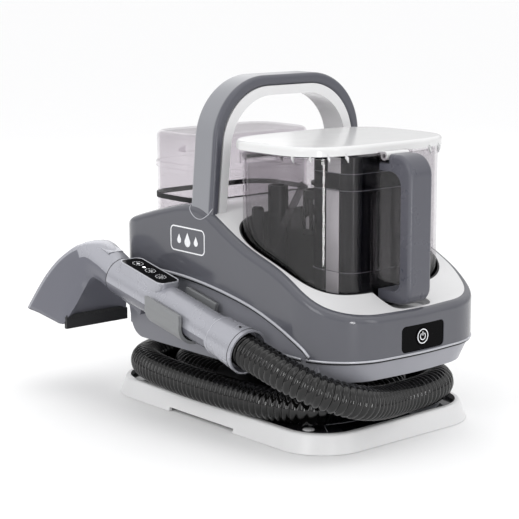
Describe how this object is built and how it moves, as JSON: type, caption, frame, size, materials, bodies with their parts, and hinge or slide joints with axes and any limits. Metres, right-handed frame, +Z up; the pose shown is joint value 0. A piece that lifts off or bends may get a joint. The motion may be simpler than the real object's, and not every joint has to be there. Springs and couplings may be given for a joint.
{
  "type": "spot extractor",
  "caption": "Portable spot extractor with a carry arch, a removable dirty tank and water tank, a docked spray wand and a hose wound round its base.",
  "frame": {"origin": "middle of the base's underside, at the middle foot's face", "axes": "+Z up, -Y to the front with the power panel, -X to the docked wand"},
  "size_m": [0.2834, 0.4249, 0.335],
  "materials": {
    "tray_white": "gloss white moulding",
    "smoky_insert": "smoky translucent moulding",
    "black_plastic": "fine-textured black moulding",
    "rubber_black": "matt rubber",
    "screw_steel": "zinc plated",
    "housing_grey": "gloss slate grey moulding",
    "skirt_grey": "satin mid grey moulding",
    "arch_grey": "satin grey moulding",
    "trim_white": "gloss white moulding",
    "panel_black": "piano black",
    "board_green": "printed circuit board",
    "dock_grey": "satin light grey moulding",
    "cradle_grey": "light grey satin pad",
    "motor_steel": "pressed steel",
    "copper_stack": "laminations and windings",
    "pump_black": "black moulding",
    "clear_tube": "clear silicone tube",
    "hose_black": "gloss black corrugated hose",
    "tank_smoke": "smoky transparent moulding",
    "chamber_smoke": "dark smoky moulding",
    "handle_grey": "satin grey moulding",
    "float_white": "white float",
    "seal_rubber": "soft black seal",
    "lid_white": "gloss white moulding",
    "wand_silver": "metallic silver moulding",
    "wand_grey": "grey moulding",
    "key_black": "gloss black key",
    "nozzle_grey": "grey moulding",
    "bristle_black": "nylon bristles"
  },
  "bodies": {
    "machine": {"base_tray": "tray_white", "base_insert": "smoky_insert", "bottom_cover": "black_plastic", "rubber_feet": "rubber_black", "housing_screws": "screw_steel", "pedestal": "black_plastic", "lower_housing": "skirt_grey", "upper_housing": "housing_grey", "deck_trim": "trim_white", "tank_bay": "black_plastic", "clean_bay": "black_plastic", "arch_shell": "arch_grey", "arch_liner": "trim_white", "power_panel": "panel_black", "control_board": "board_green", "rear_grille": "black_plastic", "cord_gland": "rubber_black", "dock_bracket": "dock_grey", "wand_cradle": "cradle_grey", "motor_housing": "motor_steel", "motor_stator": "copper_stack", "motor_mount": "rubber_black", "pump_body": "pump_black", "solution_tube": "clear_tube", "hose_port": "black_plastic", "suction_riser": "black_plastic", "air_duct": "black_plastic", "suction_hose": "hose_black"},
    "rotor": {"motor_rotor": "motor_steel", "fan_impeller": "black_plastic"},
    "plunger": {"pump_plunger": "motor_steel"},
    "power_key": {"power_button": "key_black"},
    "tank": {"dirty_tank": "tank_smoke", "separator_chamber": "chamber_smoke", "chamber_cap": "black_plastic", "tank_tubes": "chamber_smoke", "float_cage": "black_plastic", "tank_handle": "handle_grey"},
    "float": {"float_ball": "float_white"},
    "tank_lid": {"dirty_tank_lid": "lid_white", "lid_seal": "seal_rubber"},
    "water_tank": {"clean_tank": "tank_smoke", "clean_tank_gasket": "seal_rubber"},
    "valve": {"clean_valve": "seal_rubber"},
    "water_lid": {"clean_tank_lid": "tank_smoke"},
    "wand": {"wand_upper_shell": "wand_silver", "wand_lower_shell": "wand_grey", "wand_panel": "panel_black", "wand_tube": "black_plastic", "collar_ring": "wand_silver"},
    "key_1": {"mode_button_1": "key_black"},
    "key_2": {"mode_button_2": "key_black"},
    "key_3": {"mode_button_3": "key_black"},
    "trigger": {"spray_trigger": "wand_grey"},
    "cuff": {"hose_cuff": "wand_silver"},
    "nozzle": {"nozzle_hood": "nozzle_grey", "nozzle_spine": "wand_silver", "nozzle_brush": "bristle_black", "spray_tip": "black_plastic"},
    "latch": {"nozzle_latch": "wand_silver"}
  },
  "joints": [
    {"name": "fan_spin", "type": "hinge", "parent": "machine", "child": "rotor", "pos_m": [0, 0.066, 0.1], "axis": [0, 0, 1], "continuous": true},
    {"name": "pump_stroke", "type": "slide", "parent": "machine", "child": "plunger", "axis": [0, 1, 0], "range_m": [0, 0.006]},
    {"name": "power_press", "type": "slide", "parent": "machine", "child": "power_key", "axis": [0, 1, 0], "range_m": [0, 0.001], "stiffness_N_per_m": 600, "springref_m": -0.0008},
    {"name": "tank_lift", "type": "slide", "parent": "machine", "child": "tank", "axis": [0, 0, 1], "range_m": [0, 0.16]},
    {"name": "float_rise", "type": "slide", "parent": "tank", "child": "float", "axis": [0, 0, 1], "range_m": [0, 0.022]},
    {"name": "tank_lid_hinge", "type": "hinge", "parent": "tank", "child": "tank_lid", "pos_m": [0, -0.15, 0.268], "axis": [1, 0, 0], "range_deg": [0, 100]},
    {"name": "water_tank_lift", "type": "slide", "parent": "machine", "child": "water_tank", "axis": [0, 0, 1], "range_m": [0, 0.12]},
    {"name": "valve_lift", "type": "slide", "parent": "water_tank", "child": "valve", "axis": [0, 0, 1], "range_m": [0, 0.004], "stiffness_N_per_m": 100, "springref_m": -0.002},
    {"name": "water_lid_hinge", "type": "hinge", "parent": "water_tank", "child": "water_lid", "pos_m": [0, 0.0415, 0.251], "axis": [1, 0, 0], "range_deg": [0, 60]},
    {"name": "wand_lift", "type": "slide", "parent": "machine", "child": "wand", "axis": [-0.1771, 0, 0.9842], "range_m": [0, 0.08]},
    {"name": "cuff_swivel", "type": "hinge", "parent": "wand", "child": "cuff", "pos_m": [-0.125, -0.06312, 0.09382], "axis": [0, 0.9784, 0.2065], "continuous": true},
    {"name": "trigger_pull", "type": "hinge", "parent": "wand", "child": "trigger", "pos_m": [-0.125, 0.10456, 0.11287], "axis": [1, 0, 0], "range_deg": [-5, 0], "stiffness_Nm_per_rad": 0.2, "springref_deg": 5.73},
    {"name": "mode_press_1", "type": "slide", "parent": "wand", "child": "key_1", "axis": [0, 0.2065, -0.9784], "range_m": [0, 0.0008], "stiffness_N_per_m": 300, "springref_m": -0.0005},
    {"name": "mode_press_2", "type": "slide", "parent": "wand", "child": "key_2", "axis": [0, 0.2065, -0.9784], "range_m": [0, 0.0008], "stiffness_N_per_m": 300, "springref_m": -0.0005},
    {"name": "mode_press_3", "type": "slide", "parent": "wand", "child": "key_3", "axis": [0, 0.2065, -0.9784], "range_m": [0, 0.0008], "stiffness_N_per_m": 300, "springref_m": -0.0005},
    {"name": "nozzle_detach", "type": "slide", "parent": "wand", "child": "nozzle", "axis": [0, 0.9784, 0.2065], "range_m": [0, 0.045]},
    {"name": "latch_press", "type": "slide", "parent": "nozzle", "child": "latch", "axis": [0, 0.2065, -0.9784], "range_m": [0, 0.0015], "stiffness_N_per_m": 400, "springref_m": -0.0005}
  ]
}
